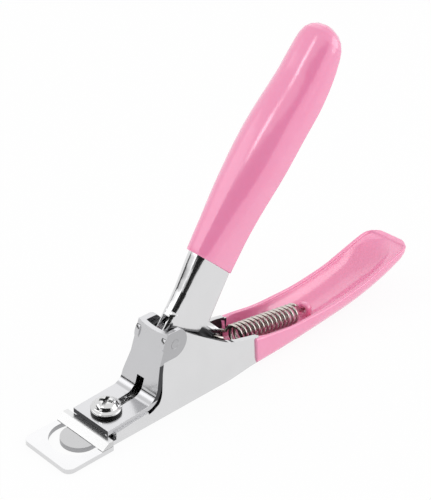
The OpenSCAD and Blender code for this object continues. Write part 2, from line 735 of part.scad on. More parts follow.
module return_spring() {
    steps = 12;
    turns = coil_turns + 0.25;
    hook_out = [hook_part[0], 0, hook_part[1]];
    pull = (coil_a - hook_out) / norm(coil_a - hook_out);
    loop_r = lever_w / 2 + 2 * wire_r;
    loop_c = hook_out + (loop_r - 0.3) * pull;
    front = [for (a = spread(-70, 90, 10)) loop_c + loop_r * (sin(a) * [0, 1, 0] - cos(a) * pull)];
    coil = [for (i = [0:steps * turns]) let (a = 90 - 360 * i / steps)
        coil_a + coil_len * i / (steps * turns) * coil_x
        + wind_r * (sin(a) * [0, 1, 0] + cos(a) * coil_up)];
    rear = [
        [tab_x - tab_gap / 2, 0, tab_hole_z + 0.5],
        [tab_x - tab_t, 0, tab_hole_z],
        [tab_x + tab_t, 0, tab_hole_z],
        [tab_x + 2 * tab_t, 0, tab_hole_z - wire_r],
        [tab_x + 2.3 * tab_t, 0, tab_hole_z - 3 * wire_r]];
    color("gray") wire(concat(front, coil, rear), wire_r);
}

frame();
cover_plate();
clamp_screw();
screw_washer();
guide_bush();
pivot_pin();
lower_grip();
upper_handle();
drive_tongue();
upper_grip();
blade();
return_spring();
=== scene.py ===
"""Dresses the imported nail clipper: polished steel, ground blade, dipped pink vinyl and spring wire."""
import json
import math

import bmesh
import bpy
from mathutils import Matrix, Vector
from mathutils.bvhtree import BVHTree


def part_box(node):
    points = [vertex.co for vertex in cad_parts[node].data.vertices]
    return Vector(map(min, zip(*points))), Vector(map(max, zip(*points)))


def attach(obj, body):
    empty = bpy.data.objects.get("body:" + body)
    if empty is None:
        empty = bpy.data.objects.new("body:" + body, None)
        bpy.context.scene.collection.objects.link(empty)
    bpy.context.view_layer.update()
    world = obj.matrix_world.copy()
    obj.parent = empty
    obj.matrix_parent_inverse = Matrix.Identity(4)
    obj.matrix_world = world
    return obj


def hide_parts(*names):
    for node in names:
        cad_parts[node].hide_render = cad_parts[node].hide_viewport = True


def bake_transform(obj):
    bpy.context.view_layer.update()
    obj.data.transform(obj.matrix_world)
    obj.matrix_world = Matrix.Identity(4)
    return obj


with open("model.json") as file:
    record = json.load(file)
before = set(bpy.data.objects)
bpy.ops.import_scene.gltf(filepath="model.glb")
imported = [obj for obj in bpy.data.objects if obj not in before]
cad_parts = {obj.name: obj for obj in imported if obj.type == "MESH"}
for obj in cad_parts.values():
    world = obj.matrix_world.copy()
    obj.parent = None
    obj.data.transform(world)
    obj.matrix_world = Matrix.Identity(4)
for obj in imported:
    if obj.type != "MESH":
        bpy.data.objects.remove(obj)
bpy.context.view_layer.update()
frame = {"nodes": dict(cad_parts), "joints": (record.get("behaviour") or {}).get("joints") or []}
MM = 0.001
# A distance in millimetres that lies outside the whole part, where measuring rays start
FAR = 400.0

# ---------------------------------------------------------------- camera and image points
PHOTO_W, PHOTO_H = 431, 500
LONG_SIDE = max(PHOTO_W, PHOTO_H)
SENSOR = 36.0
LENS = 86.4
CAMERA_AT = Vector((-172.7, -173.1, 179.1))
AZIMUTH = math.radians(-47.74)
ELEVATION = math.radians(29.09)
ROLL = math.radians(3.71)

# What the photograph shows, in its pixels
POINTS = {
    "left": (22.0, None),
    "right": (406.6, None),
    "top": (None, 25.8),
    "bottom": (None, 474.5),
    "nose_far_corner": (22.0, 438.3),
    "blade_near_tip": (102.4, 452.6),
    "blade_far_tip": (57.3, 418.7),
    "cover_near_corner": (110.8, 432.6),
    "cover_far_corner": (75.8, 408.0),
    "screw_head": (106.5, 407.5),
    "ear_middle": (174.4, 343.6),
    "lower_dip_rim": (255.0, 342.4),
    "lower_dip_belly": (258.6, 362.9),
    "upper_dip_far": (190.5, 252.1),
    "upper_dip_near": (230.6, 275.6),
    "coil_front": (236.0, 333.5),
    "coil_rear": (292.5, 316.0),
    "tab_top": (306.5, 306.5),
}


def camera_axes():
    """The camera's right, up and back directions in the row frame."""
    back = Vector((
        math.sin(AZIMUTH) * math.cos(ELEVATION),
        -math.cos(AZIMUTH) * math.cos(ELEVATION),
        math.sin(ELEVATION)))
    level = Vector((0, 0, 1)).cross(back).normalized()
    upright = back.cross(level)
    right = math.cos(ROLL) * level + math.sin(ROLL) * upright
    up = -math.sin(ROLL) * level + math.cos(ROLL) * upright
    return right, up, back


def make_camera():
    """The camera that took the photograph, as far as one picture tells."""
    right, up, back = camera_axes()
    data = bpy.data.cameras.new("camera")
    data.sensor_fit = "AUTO"
    data.sensor_width = SENSOR
    data.lens = LENS
    data.clip_start = 0.01
    data.clip_end = 10
    obj = bpy.data.objects.new("camera", data)
    turned = Matrix((right, up, back)).transposed().to_4x4()
    obj.matrix_world = Matrix.Translation(CAMERA_AT * MM) @ turned
    bpy.context.scene.collection.objects.link(obj)
    bpy.context.scene.camera = obj


def on_surface(name, tree):
    """Where the ray through an image point meets the surface that carries it, or passes nearest to it."""
    right, up, back = camera_axes()
    x, y = POINTS[name]
    way = (x - PHOTO_W / 2) * right + (PHOTO_H / 2 - y) * up - LONG_SIDE * LENS / SENSOR * back
    way.normalize()
    spot = tree.ray_cast(CAMERA_AT, way)[0]
    if spot is None:
        along = [CAMERA_AT + way * d for d in range(200, 500)]
        near = min((tree.find_nearest(p) for p in along), key=lambda found: found[3])
        spot = near[0]
    return spot


make_camera()

# ---------------------------------------------------------------- places taken from the frame
PIVOT = Vector(frame["joints"][0]["pos_m"]) / MM
LEVER_ANGLE = math.radians(50.6)
# Heights on the cover plate: the top of its bend, and the foot of its ears
BEND_Z = 5.6
EARS_FOOT_Z = 14.1
# Middle of the crescent hole, and its punched radius with a little to spare
HOLE_AT = Vector((-26.6, 0, 0))
HOLE_REACH = 6.8
# The upper handle's own frame: first axis along the handle, third axis out of its spine
LEVER = Matrix.Translation(PIVOT) @ Matrix.Rotation(-LEVER_ANGLE, 4, "Y")
PART = Matrix.Identity(4)


def node_box(node):
    """A CAD node's lowest and highest corner, in millimetres."""
    low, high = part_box(node)
    return Vector(low) / MM, Vector(high) / MM


def solid_tree(node, place=PART):
    """A search tree of a CAD node in millimetres, in the frame that place sets."""
    mesh = frame["nodes"][node].data
    back = place.inverted() @ Matrix.Scale(1 / MM, 4)
    return BVHTree.FromPolygons(
        [back @ v.co for v in mesh.vertices],
        [tuple(p.vertices) for p in mesh.polygons])


def hit(tree, start, way):
    """Where a ray first meets a surface, or None."""
    return tree.ray_cast(Vector(start), Vector(way))[0]


# ---------------------------------------------------------------- mesh helpers
# Edges that turn by more than this stay sharp to the eye, in degrees
SHARP_FROM = 40


def finished(name, bm, material, body, nodes=()):
    """Turns a bmesh in millimetres into a piece of the object."""
    bmesh.ops.recalc_face_normals(bm, faces=bm.faces)
    bmesh.ops.scale(bm, vec=(MM, MM, MM), verts=bm.verts)
    mesh = bpy.data.meshes.new(name)
    bm.to_mesh(mesh)
    bm.free()
    for face in mesh.polygons:
        face.use_smooth = True
    mesh.set_sharp_from_angle(angle=math.radians(SHARP_FROM))
    mesh.materials.append(material)
    obj = bpy.data.objects.new(name, mesh)
    bpy.context.scene.collection.objects.link(obj)
    if body:
        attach(obj, body)
    if nodes:
        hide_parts(*nodes)
    return obj


def skin_loops(loops, place=PART):
    """A closed skin over a row of loops with the same number of points, capped at both ends."""
    bm = bmesh.new()
    rows = [[bm.verts.new(place @ Vector(p)) for p in loop] for loop in loops]
    count = len(rows[0])
    for low, high in zip(rows, rows[1:]):
        for i in range(count):
            j = (i + 1) % count
            bm.faces.new((low[i], low[j], high[j], high[i]))
    bm.faces.new(rows[0])
    bm.faces.new(rows[-1])
    return bm


def rounded(bm, width, segments=2, angle=32):
    """Rounds every edge sharper than the angle, as tumbling and polishing do."""
    edges = [e for e in bm.edges if len(e.link_faces) == 2 and e.calc_face_angle() > math.radians(angle)]
    bmesh.ops.bevel(
        bm, geom=edges, offset=width, offset_type="OFFSET", segments=segments, profile=0.5,
        affect="EDGES", clamp_overlap=True)
    return bm


def pressed(name, bm, material, body, nodes):
    """A finished steel piece whose flat faces stay flat to the eye beside their rounded edges."""
    obj = finished(name, bm, material, body, nodes)
    flat = obj.modifiers.new("flat_faces", "WEIGHTED_NORMAL")
    flat.keep_sharp = True
    flat.weight = 100
    return obj


def painted(obj, material, test):
    """Gives another finish to the faces whose middle and normal pass a test, in millimetres."""
    obj.data.materials.append(material)
    for face in obj.data.polygons:
        if test(face.center / MM, face.normal):
            face.material_index = len(obj.data.materials) - 1


def folded(bm):
    """Cuts the faces at the bend and at the ears' foot, so that light and paint can change there."""
    for height in (EARS_FOOT_Z, BEND_Z):
        everything = bm.verts[:] + bm.edges[:] + bm.faces[:]
        bmesh.ops.bisect_plane(bm, geom=everything, plane_co=(0, 0, height), plane_no=(0, 0, 1))
    return bm


def trimmed(bm, spot, way):
    """Cuts away what lies beyond a plane, where another piece hides it, and closes the cut."""
    everything = bm.verts[:] + bm.edges[:] + bm.faces[:]
    cut = bmesh.ops.bisect_plane(bm, geom=everything, plane_co=spot, plane_no=way, clear_outer=True)
    rim = [e for e in cut["geom_cut"] if isinstance(e, bmesh.types.BMEdge)]
    bmesh.ops.holes_fill(bm, edges=rim)
    return bm


def cad_copy(node):
    """A CAD node's mesh in millimetres, its triangles joined into whole faces."""
    bm = bmesh.new()
    bm.from_mesh(frame["nodes"][node].data)
    bmesh.ops.scale(bm, vec=(1 / MM,) * 3, verts=bm.verts)
    bmesh.ops.remove_doubles(bm, verts=bm.verts, dist=0.001)
    bmesh.ops.dissolve_limit(
        bm, angle_limit=math.radians(0.4), verts=bm.verts, edges=bm.edges, delimit={"NORMAL"})
    return bm


def arc(centre, radius, start, end, steps):
    """Points along an arc from one angle to another, in degrees."""
    turns = [math.radians(start + (end - start) * i / steps) for i in range(steps + 1)]
    return [(centre[0] + radius * math.cos(a), centre[1] + radius * math.sin(a)) for a in turns]


def ease(share):
    """A soft start and a soft end between 0 and 1."""
    share = min(max(share, 0), 1)
    return share * share * (3 - 2 * share)


# ---------------------------------------------------------------- dipped handles
COATED_WALL = 2.15
SHEET = 1.1
DIP_EDGE_R = 0.35
END_EDGE_R = 0.6
END_ZONE = 8.0
# Distance between cross-sections, and how far the first and last keep from the solid's ends
STATION = 0.9
END_INSET = 0.02
# From the dip line, the wall thins over the first run and the inside softens over the second
WALL_RUN = 6
SOFT_RUN = 12
SOFT_INSIDE = 4
# Steps of the arcs that a channel's cross-section is made of
SIDE_STEPS, LIP_STEPS, INNER_STEPS = 14, 4, 9
# A lip's radius as a share of its wall
LIP_SHARE = 0.48
# Where rays measure a channel: depths for its width, steps in from its side for its rim, and off its middle
SIDE_DEPTHS = (0.4, 1, 2, 3, 4, 5, 6.5)
RIM_STEPS = (0.3, 0.6, 1.0)
OFF_MIDDLE = 0.3
FLOOR_SHARE = 0.45


def channel_loop(half, depth, floor, corner, wall, soft=0.0):
    """Cross-section of a channel, as (across, depth from its closed side), with round corners and lips."""
    wall = min(wall, half - 0.15)
    lip = min(wall, depth) * LIP_SHARE
    outer = min(corner, half - 0.1)
    floor = min(floor, depth - 0.02)
    open_angle = 0.0
    if outer > depth - lip:
        open_angle = math.degrees(math.asin(max((depth - lip - outer) / (outer - lip), -0.95)))
    side = arc((half - outer, outer), outer, -90, open_angle, SIDE_STEPS)
    turn = math.radians(open_angle)
    lip_y = depth - lip
    lip_x = half - outer + (outer - lip) * math.cos(turn)
    side += arc((lip_x, lip_y), lip, open_angle, 90, LIP_STEPS)
    inner = min(max(outer - wall, 0.6) + soft, max(half - wall, 0.7) - 0.1)
    inner_angle = math.degrees(math.asin(min(max((lip_y - floor - inner) / inner, -0.98), 0)))
    inside = arc((lip_x, lip_y), lip, 90, 180, LIP_STEPS)
    inside += arc((max(half - wall - inner, 0.02), floor + inner), inner, inner_angle, -90, INNER_STEPS)
    side += [(x, max(y, floor)) for x, y in inside]
    return side + [(-x, y) for x, y in reversed(side)]


def measure(tree, x, opens):
    """Base height, half width, depth and floor depth of a dipped channel's CAD solid at one station."""
    base = hit(tree, (x, OFF_MIDDLE, -opens * FAR), (0, 0, opens))[2]
    sides = [hit(tree, (x, -FAR, base + opens * d), (0, 1, 0)) for d in SIDE_DEPTHS]
    half = max(-found[1] for found in sides if found)
    lips = [hit(tree, (x, y - half, opens * FAR), (0, 0, -opens)) for y in RIM_STEPS]
    rim = max(opens * found[2] for found in lips if found)
    floors = [hit(tree, (x, y, opens * FAR), (0, 0, -opens)) for y in (OFF_MIDDLE, half * FLOOR_SHARE)]
    inside = min(opens * found[2] for found in floors)
    return base, half, rim - opens * base, inside - opens * base


def dipped_channel(node, x0, x1, place, opens, corner_of, slant_of, spoon, lip_wall):
    """Loops along a dipped handle, measured from its CAD solid, with a floor that rises at the end."""
    tree = solid_tree(node, place)
    spots = [x0 + END_INSET + d for d in (0, 0.08, 0.2, DIP_EDGE_R)]
    steps = int((x1 - END_ZONE - spots[-1]) / STATION)
    spots += [spots[-1] + (x1 - END_ZONE - spots[-1]) * i / steps for i in range(1, steps)]
    spots += [x1 - END_INSET - END_ZONE * (1 - math.sin(math.radians(a))) for a in range(0, 91, 3)]
    loops = []
    for x in spots:
        base, half, depth, floor = measure(tree, x, opens)
        past = max(0, DIP_EDGE_R - (x - x0))
        tuck = DIP_EDGE_R - math.sqrt(DIP_EDGE_R ** 2 - past ** 2)
        past = min(max(0, END_EDGE_R - (x1 - x)), END_EDGE_R)
        end_tuck = END_EDGE_R - math.sqrt(END_EDGE_R ** 2 - past ** 2)
        depth = max(depth - 2 * tuck - end_tuck, 0.3)
        rise = 1 - ease((x1 - x) / spoon) ** 0.7
        wall = COATED_WALL + (lip_wall - COATED_WALL) * ease((x - x0) / WALL_RUN)
        soft = SOFT_INSIDE * ease((x - x0) / SOFT_RUN)
        floor -= tuck + (COATED_WALL - wall)
        loop = channel_loop(
            half - tuck, depth, floor + (depth - floor) * rise, corner_of(x, half) - tuck, wall, soft)
        fade = 1 - ease((x - x0) / SOFT_RUN)
        loops.append([
            (x + fade * slant_of(p[0], p[1] / depth), p[0], base + opens * (p[1] + tuck))
            for p in loop])
    return loops


def lever_reach(node):
    """Nearest and farthest point of a node along the upper handle's axis."""
    back = LEVER.inverted()
    reach = [(back @ (v.co / MM))[0] for v in frame["nodes"][node].data.vertices]
    return min(reach), max(reach)


# The lower grip's long corners widen from the first radius by the second
LOWER_CORNER_R = 2.2
LOWER_CORNER_GAIN = 1.8


def lower_grip(vinyl):
    """The lower handle's coat, with its front edge where the photograph's dip line runs."""
    near, far = node_box("lower_grip")[0][0], node_box("lower_grip")[1][0]
    body = solid_tree("frame")
    belly_run = on_surface("lower_dip_belly", body)[0] - near
    rim_run = on_surface("lower_dip_rim", body)[0] - near

    def corner_of(x, half):
        return LOWER_CORNER_R + LOWER_CORNER_GAIN * ease(2 * (x - near) / (far - near))

    def slant_of(across, height):
        return belly_run + (rim_run - belly_run) * height

    loops = dipped_channel(
        "lower_grip", near, far, PART, 1, corner_of, slant_of, spoon=16, lip_wall=1.1)
    finished("lower_grip_coat", skin_loops(loops), vinyl, "frame", ["lower_grip"])


def upper_grip(vinyl):
    """The upper handle's coat, nearly round along its back, with a straight front edge."""
    near, far = lever_reach("upper_grip")

    def corner_of(x, half):
        return half - 0.5

    def slant_of(across, height):
        return 0.0

    loops = dipped_channel(
        "upper_grip", near, far, LEVER, -1, corner_of, slant_of, spoon=12, lip_wall=1.5)
    finished("upper_grip_coat", skin_loops(loops, LEVER), vinyl, "lever", ["upper_grip"])


# The bare neck along the upper handle, and how far metal runs on under a coat
HIDDEN_BY_COAT = 1.0
NECK_START = 6.5
NECK_END = lever_reach("upper_grip")[0] + HIDDEN_BY_COAT
NECK_STEPS = 40


def neck_channel(steel):
    """The upper handle's bare metal from the pivot's cheeks to the dip line, smooth as a mirror."""
    tree = solid_tree("upper_handle", LEVER)
    loops = []
    for i in range(NECK_STEPS + 1):
        u = NECK_START + (NECK_END - NECK_START) * i / NECK_STEPS
        base, half, depth, floor = measure(tree, u, -1)
        loop = channel_loop(half, depth, SHEET, half - 0.4, SHEET)
        loops.append([(u, p[0], base - p[1]) for p in loop])
    finished("upper_handle_neck", skin_loops(loops, LEVER), steel, "lever", ["upper_handle"])


# The tab that stands across the lower handle, coated with it, and the hole for the spring's hook
TAB_X = 55.3
TAB_Y = -0.8
TAB_HOLE_Z = 4.0
TAB_HOLE_R = 0.85
TAB_HALF = 2.0
TAB_THICK = 1.9
TAB_FOOT_Z = 0.9
TAB_EDGE_R = 0.5
TAB_SIDES = 48


def tab_coat(vinyl):
    """A round-topped tongue with a smooth rolled edge and a hole, standing on the channel's floor."""
    bm = bmesh.new()
    outer, inner = [], []
    for i in range(TAB_SIDES):
        turn = math.radians(i * 360 / TAB_SIDES)
        way = Vector((0, math.cos(turn), math.sin(turn)))
        reach = TAB_HALF
        if way.z < -0.001:
            reach = min(TAB_HALF / max(abs(way.y), 0.01), (TAB_HOLE_Z - TAB_FOOT_Z) / -way.z)
        outer.append(way * reach)
        inner.append(way * TAB_HOLE_R)
    middle = Vector((TAB_X, TAB_Y, TAB_HOLE_Z))
    rows = []
    for path, sign in ((outer, -1), (inner, 1)):
        turns = range(-90, 91, 30) if sign < 0 else range(90, -91, -30)
        for a in turns:
            a = math.radians(a)
            inset = TAB_EDGE_R * (1 - math.cos(a))
            side = (a > 0) - (a < 0)
            shift = (TAB_THICK / 2 - TAB_EDGE_R) * side + TAB_EDGE_R * math.sin(a)
            rows.append([middle + p * (1 + sign * inset / p.length) + Vector((shift, 0, 0)) for p in path])
    made = [[bm.verts.new(p) for p in row] for row in rows]
    for k, row in enumerate(made):
        after = made[(k + 1) % len(made)]
        for i in range(TAB_SIDES):
            j = (i + 1) % TAB_SIDES
            bm.faces.new((row[i], row[j], after[j], after[i]))
    finished("spring_tab_coat", bm, vinyl, "frame", ["lower_grip"])


# ---------------------------------------------------------------- clamp screw
HEAD_PROFILE = (
    (1.4, 0), (3.8, 0), (3.8, 0.34), (3.7, 0.5), (3.45, 0.6), (3.05, 0.7), (2.85, 0.95), (2.68, 1.3),
    (2.35, 1.7), (1.8, 2.0), (1.0, 2.16), (0, 2.2))
HEAD_TOP = 2.2
SHANK_R = 1.4
HEAD_SIDES = 56
HEAD_LIFT = 0.4
# The screw leans back with the cover plate's foot, in degrees
SCREW_LEAN = 3.4
CROSS_LENGTH, CROSS_WIDTH, CROSS_DEPTH = 4.0, 1.0, 1.5
CROSS_TURN = 0.5


def wedge_cut(length, width, depth, turn):
    """One arm of the driver's cross: a tapered slot through the head's top."""
    bm = bmesh.new()
    mouth = (length / 2, width / 2, HEAD_TOP + 0.3)
    foot = (length / 5, width / 3.2, HEAD_TOP - depth)
    for half_l, half_w, z in (mouth, foot):
        for sx, sy in ((-1, -1), (1, -1), (1, 1), (-1, 1)):
            bm.verts.new(Matrix.Rotation(turn, 3, "Z") @ Vector((sx * half_l, sy * half_w, z)))
    bmesh.ops.convex_hull(bm, input=bm.verts)
    return bm


def clamp_screw(steel):
    """Flanged round head with a driver's cross, turned and then stamped."""
    washer_low, washer_high = node_box("screw_washer")
    screw_low = node_box("clamp_screw")[0]
    lean = math.radians(SCREW_LEAN)
    middle = (washer_low + washer_high) / 2 + Vector((-math.sin(lean), 0, math.cos(lean))) * HEAD_LIFT
    stand = Matrix.Translation(middle) @ Matrix.Rotation(-lean, 4, "Y")
    shank_end = screw_low.z - middle.z
    profile = ((0, shank_end), (SHANK_R, shank_end)) + HEAD_PROFILE
    bm = bmesh.new()
    line = [bm.verts.new((r, 0, h)) for r, h in profile]
    edges = [bm.edges.new(pair) for pair in zip(line, line[1:])]
    bmesh.ops.spin(
        bm, geom=line + edges, cent=(0, 0, 0), axis=(0, 0, 1), angle=2 * math.pi, steps=HEAD_SIDES,
        use_merge=True)
    bmesh.ops.remove_doubles(bm, verts=bm.verts, dist=0.001)
    head = finished("clamp_screw_blank", bm, steel, None)
    cutters = []
    for turn in (CROSS_TURN, CROSS_TURN + math.pi / 2):
        arm = wedge_cut(CROSS_LENGTH, CROSS_WIDTH, CROSS_DEPTH, turn)
        cutter = finished("cross_cutter", arm, steel, None)
        cut = head.modifiers.new("cross", "BOOLEAN")
        cut.object = cutter
        cut.solver = "EXACT"
        cutters.append(cutter)
    mesh = bpy.data.meshes.new_from_object(head.evaluated_get(bpy.context.evaluated_depsgraph_get()))
    for old in cutters + [head]:
        bpy.data.objects.remove(old)
    bm = bmesh.new()
    bm.from_mesh(mesh)
    bmesh.ops.scale(bm, vec=(1 / MM,) * 3, verts=bm.verts)
    bmesh.ops.transform(bm, matrix=stand, verts=bm.verts)
    finished("clamp_screw_steel", bm, steel, "frame", ["clamp_screw"])


# ---------------------------------------------------------------- spring
WIRE_R = 0.46
WIND_R = 2.95 - WIRE_R
COIL_TURNS = 14.25
COIL_A = Vector((26.6, 0, 7.2))
COIL_B = Vector((49.8, -1.2, 4.9))
HOOK_HOLE = LEVER @ Vector((5.8, 0, -17.9))
HOOK_R = 2.9
TURN_STEPS = 28
WIRE_SIDES = 12


def bend_through(spots, steps=8):
    """A smooth curve through a few points."""
    ends = [2 * spots[0] - spots[1]] + spots + [2 * spots[-1] - spots[-2]]
    path = []
    for a, b, c, d in zip(ends, ends[1:], ends[2:], ends[3:]):
        for i in range(steps):
            t = i / steps
            path.append(
                b + 0.5 * t * (c - a) + t * t * (a - 2.5 * b + 2 * c - 0.5 * d)
                + t ** 3 * (1.5 * (b - c) + 0.5 * (d - a)))
    return path + [spots[-1]]


def spring_path():
    """The wire from its front hook, round the coil, and through the tab to its bent tip."""
    pull = (COIL_A - HOOK_HOLE).normalized()
    middle = HOOK_HOLE + (HOOK_R - 0.3) * pull
    side = Vector((0, 1, 0))
    front = [
        middle + HOOK_R * (math.sin(math.radians(a)) * side - math.cos(math.radians(a)) * pull)
        for a in range(-80, 91, 10)]
    axis = (COIL_B - COIL_A).normalized()
    lift = Vector((-axis.z, 0, axis.x))
    count = int(COIL_TURNS * TURN_STEPS)
    coil = []
    for i in range(count + 1):
        turn = math.radians(90 - 360 * COIL_TURNS * i / count)
        coil.append(
            COIL_A.lerp(COIL_B, i / count) + WIND_R * (math.sin(turn) * side + math.cos(turn) * lift))
    tab = Vector((TAB_X, TAB_Y, TAB_HOLE_Z))
    rear = [tab + Vector(d) for d in (
        (-2.6, 0, 0.5), (-1.1, 0, 0), (1.1, 0, 0), (2.2, 0, -WIRE_R), (2.5, 0, -3 * WIRE_R))]
    lead_in = bend_through([front[-1], front[-1].lerp(coil[0], 0.5) + Vector((0, 0.3, 0)), coil[0]])
    lead_out = bend_through([coil[-1], coil[-1].lerp(rear[0], 0.5) + 0.5 * lift] + rear)
    return front[:-1] + lead_in[:-1] + coil + lead_out[1:]


def wire_tree(material):
    """Geometry Nodes: sweeps a round wire along the edges of the mesh that it is given."""
    tree = bpy.data.node_groups.new("round_wire", "GeometryNodeTree")
    tree.interface.new_socket("Path", in_out="INPUT", socket_type="NodeSocketGeometry")
    radius = tree.interface.new_socket("Wire Radius", in_out="INPUT", socket_type="NodeSocketFloat")
    sides = tree.interface.new_socket("Sides", in_out="INPUT", socket_type="NodeSocketInt")
    tree.interface.new_socket("Wire", in_out="OUTPUT", socket_type="NodeSocketGeometry")
    given = add(tree, "NodeGroupInput")
    path = add(tree, "GeometryNodeMeshToCurve", [("Mesh", given.outputs["Path"])])
    ring = add(tree, "GeometryNodeCurvePrimitiveCircle", [
        ("Radius", given.outputs["Wire Radius"]), ("Resolution", given.outputs["Sides"])])
    swept = add(tree, "GeometryNodeCurveToMesh", [
        ("Curve", path.outputs[0]), ("Profile Curve", ring.outputs[0])], Fill_Caps=True)
    smooth = add(tree, "GeometryNodeSetShadeSmooth", [(0, swept.outputs[0])])
    real = add(tree, "GeometryNodeRealizeInstances", [(0, smooth.outputs[0])])
    done = add(tree, "GeometryNodeSetMaterial", [(0, real.outputs[0])])
    done.inputs["Material"].default_value = material
    given_out = add(tree, "NodeGroupOutput")
    tree.links.new(done.outputs[0], given_out.inputs[0])
    return tree, radius.identifier, sides.identifier


def return_spring(material):
    """The wire as one mesh."""
    path = spring_path()
    mesh = bpy.data.meshes.new("spring_path")
    mesh.from_pydata([p * MM for p in path], [(i, i + 1) for i in range(len(path) - 1)], [])
    guide = bpy.data.objects.new("spring_path", mesh)
    bpy.context.scene.collection.objects.link(guide)
    tree, radius_input, sides_input = wire_tree(material)
    sweep = guide.modifiers.new("wire", "NODES")
    sweep.node_group = tree
    sweep[radius_input] = WIRE_R * MM
    sweep[sides_input] = WIRE_SIDES
    seen = guide.evaluated_get(bpy.context.evaluated_depsgraph_get())
    wire = bpy.data.meshes.new_from_object(seen)
    wire.name = "return_spring_wire"
    guide.modifiers.remove(sweep)
    bpy.data.objects.remove(guide)
    obj = bpy.data.objects.new("return_spring_wire", wire)
    bpy.context.scene.collection.objects.link(obj)
    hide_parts("return_spring")
    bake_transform(obj)


# ---------------------------------------------------------------- materials
def linear(colour):
    """sRGB hex to linear RGBA."""
    parts = [int(colour[i:i + 2], 16) / 255 for i in (1, 3, 5)]
    return (*[p / 12.92 if p <= 0.04045 else ((p + 0.055) / 1.055) ** 2.4 for p in parts], 1)


def new_material(name):
    """An empty material with a Principled shader wired to its output."""
    material = bpy.data.materials.new(name)
    material.use_nodes = True
    tree = material.node_tree
    tree.nodes.clear()
    shader = tree.nodes.new("ShaderNodeBsdfPrincipled")
    output = tree.nodes.new("ShaderNodeOutputMaterial")
    tree.links.new(shader.outputs[0], output.inputs["Surface"])
    return material, tree, shader


def add(tree, kind, links=(), **settings):
    """Adds a node. Settings are its properties or socket values, and links are (socket, source) pairs."""
    node = tree.nodes.new(kind)
    for name, value in settings.items():
        if hasattr(node, name):
            setattr(node, name, value)
        else:
            node.inputs[name.replace("_", " ")].default_value = value
    for socket, source in links:
        tree.links.new(source, node.inputs[socket])
    return node


def brushed(name, colour, roughness, swing, grain_mm, along):
    """Polished or ground steel: metal with faint scratches along one way that spread its gloss."""
    material, tree, shader = new_material(name)
    shader.inputs["Metallic"].default_value = 1
    place = add(tree, "ShaderNodeTexCoord").outputs["Object"]
    stretch = [1 / (grain_mm * MM)] * 3
    stretch[along] /= 24
    turned = add(tree, "ShaderNodeMapping", [("Vector", place)], Scale=stretch)
    grain = add(tree, "ShaderNodeTexNoise", [("Vector", turned.outputs[0])], Scale=1.0, Detail=3.0)
    clouds = add(tree, "ShaderNodeTexNoise", [("Vector", place)], Scale=1 / (6 * MM), Detail=2.0)
    tone = add(tree, "ShaderNodeMix", [("Factor", clouds.outputs["Fac"])], data_type="RGBA")
    tone.inputs["A"].default_value = linear(colour)
    tone.inputs["B"].default_value = [0.94 * c for c in linear(colour)[:3]] + [1]
    gloss = add(
        tree, "ShaderNodeMapRange", [("Value", grain.outputs["Fac"])],
        To_Min=roughness - swing, To_Max=roughness + swing)
    bump = add(
        tree, "ShaderNodeBump", [("Height", grain.outputs["Fac"])], Strength=0.05, Distance=0.02 * MM)
    tree.links.new(tone.outputs["Result"], shader.inputs["Base Color"])
    tree.links.new(gloss.outputs[0], shader.inputs["Roughness"])
    tree.links.new(bump.outputs[0], shader.inputs["Normal"])
    return material


def dipped_vinyl():
    """Dipped vinyl: a soft pink with a clear wet gloss, waving a little where it ran."""
    material, tree, shader = new_material("dipped_pink_vinyl")
    place = add(tree, "ShaderNodeTexCoord").outputs["Object"]
    runs = add(tree, "ShaderNodeTexNoise", [("Vector", place)], Scale=1 / (9 * MM), Detail=2.0)
    fine = add(tree, "ShaderNodeTexNoise", [("Vector", place)], Scale=1 / (0.5 * MM), Detail=2.0)
    tone = add(tree, "ShaderNodeMix", [("Factor", runs.outputs["Fac"])], data_type="RGBA")
    tone.inputs["A"].default_value = linear("#F486B2")
    tone.inputs["B"].default_value = linear("#F794BC")
    gloss = add(
        tree, "ShaderNodeMapRange", [("Value", fine.outputs["Fac"])], To_Min=0.17, To_Max=0.25)
    bump = add(tree, "ShaderNodeBump", [("Height", runs.outputs["Fac"])], Strength=0.12, Distance=0.15 * MM)
    tree.links.new(tone.outputs["Result"], shader.inputs["Base Color"])
    tree.links.new(gloss.outputs[0], shader.inputs["Roughness"])
    tree.links.new(bump.outputs[0], shader.inputs["Normal"])
    shader.inputs["IOR"].default_value = 1.53
    shader.inputs["Specular IOR Level"].default_value = 0.9
    shader.inputs["Coat Weight"].default_value = 0.8
    shader.inputs["Coat Roughness"].default_value = 0.16
    shader.inputs["Subsurface Weight"].default_value = 0.12
    shader.inputs["Subsurface Radius"].default_value = (1.0, 0.45, 0.45)
    shader.inputs["Subsurface Scale"].default_value = 0.6 * MM
    return material


def painted_shade_disc(material, middle, radius, share):
    """Painted shade: darkens a steel inside an upright cylinder, standing in for the shade and dim
    reflection on the tongue in the nail hole.
    """
    tree = material.node_tree
    shader = next(n for n in tree.nodes if n.type == "BSDF_PRINCIPLED")
    colour = shader.inputs["Base Color"].links[0].from_socket
    place = add(tree, "ShaderNodeTexCoord").outputs["Object"]
    flat = add(tree, "ShaderNodeVectorMath", [(0, place)], operation="MULTIPLY")
    flat.inputs[1].default_value = (1, 1, 0)
    away = add(tree, "ShaderNodeVectorMath", [(0, flat.outputs[0])], operation="DISTANCE")
    away.inputs[1].default_value = tuple(middle * MM)
    inside = add(
        tree, "ShaderNodeMapRange", [("Value", away.outputs["Value"])], From_Min=(radius + 0.1) * MM,
        From_Max=(radius - 0.1) * MM, To_Min=0.0, To_Max=share)
    tone = add(
        tree, "ShaderNodeMix", [("Factor", inside.outputs[0]), ("A", colour)], data_type="RGBA")
    tone.inputs["B"].default_value = (0, 0, 0, 1)
    tree.links.new(tone.outputs["Result"], shader.inputs["Base Color"])


